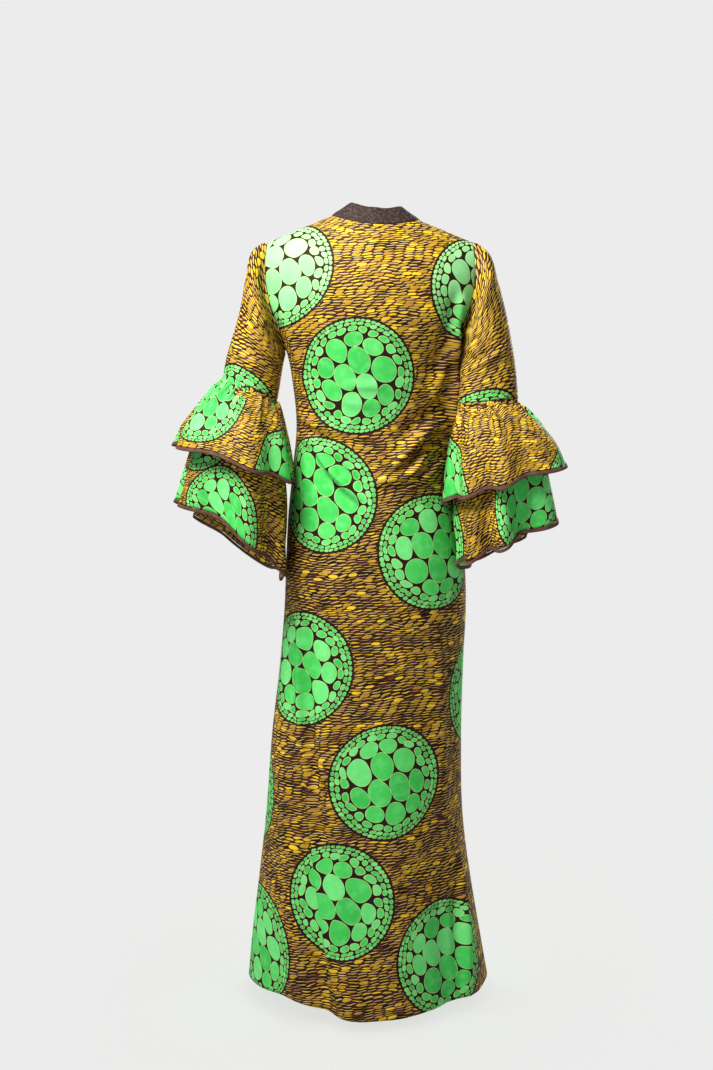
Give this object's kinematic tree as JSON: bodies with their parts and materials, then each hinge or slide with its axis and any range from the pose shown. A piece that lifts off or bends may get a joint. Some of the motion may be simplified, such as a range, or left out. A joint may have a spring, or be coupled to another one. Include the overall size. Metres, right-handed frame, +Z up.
{
  "type": "ankara dress",
  "caption": "Floor-length wax-print dress in its worn form, with a standing neckband and elbow sleeves that end in two-tier gathered ruffles with bound hems.",
  "frame": {"origin": "on the centre line of the shoulders, at the height where the shoulder seams meet the neckline", "axes": "+Z up; the dress's front faces -Y and its own left side is +X"},
  "size_m": [0.7085, 0.4033, 1.4447],
  "materials": {
    "print_cotton": "wax-print cotton, smooth and slightly glazed, green cell roundels on a ground of yellow dashes on maroon",
    "brown_binding": "brown cotton bias binding",
    "brown_neckband": "dark brown mottled cotton"
  },
  "bodies": {
    "root": {"dress_back": "print_cotton", "dress_front": "print_cotton", "sleeve_left": "print_cotton", "sleeve_right": "print_cotton", "ruffle_upper_left": "print_cotton", "ruffle_upper_right": "print_cotton", "ruffle_lower_left": "print_cotton", "ruffle_lower_right": "print_cotton", "binding_upper_left": "brown_binding", "binding_upper_right": "brown_binding", "binding_lower_left": "brown_binding", "binding_lower_right": "brown_binding", "neckband": "brown_neckband"}
  },
  "joints": []
}
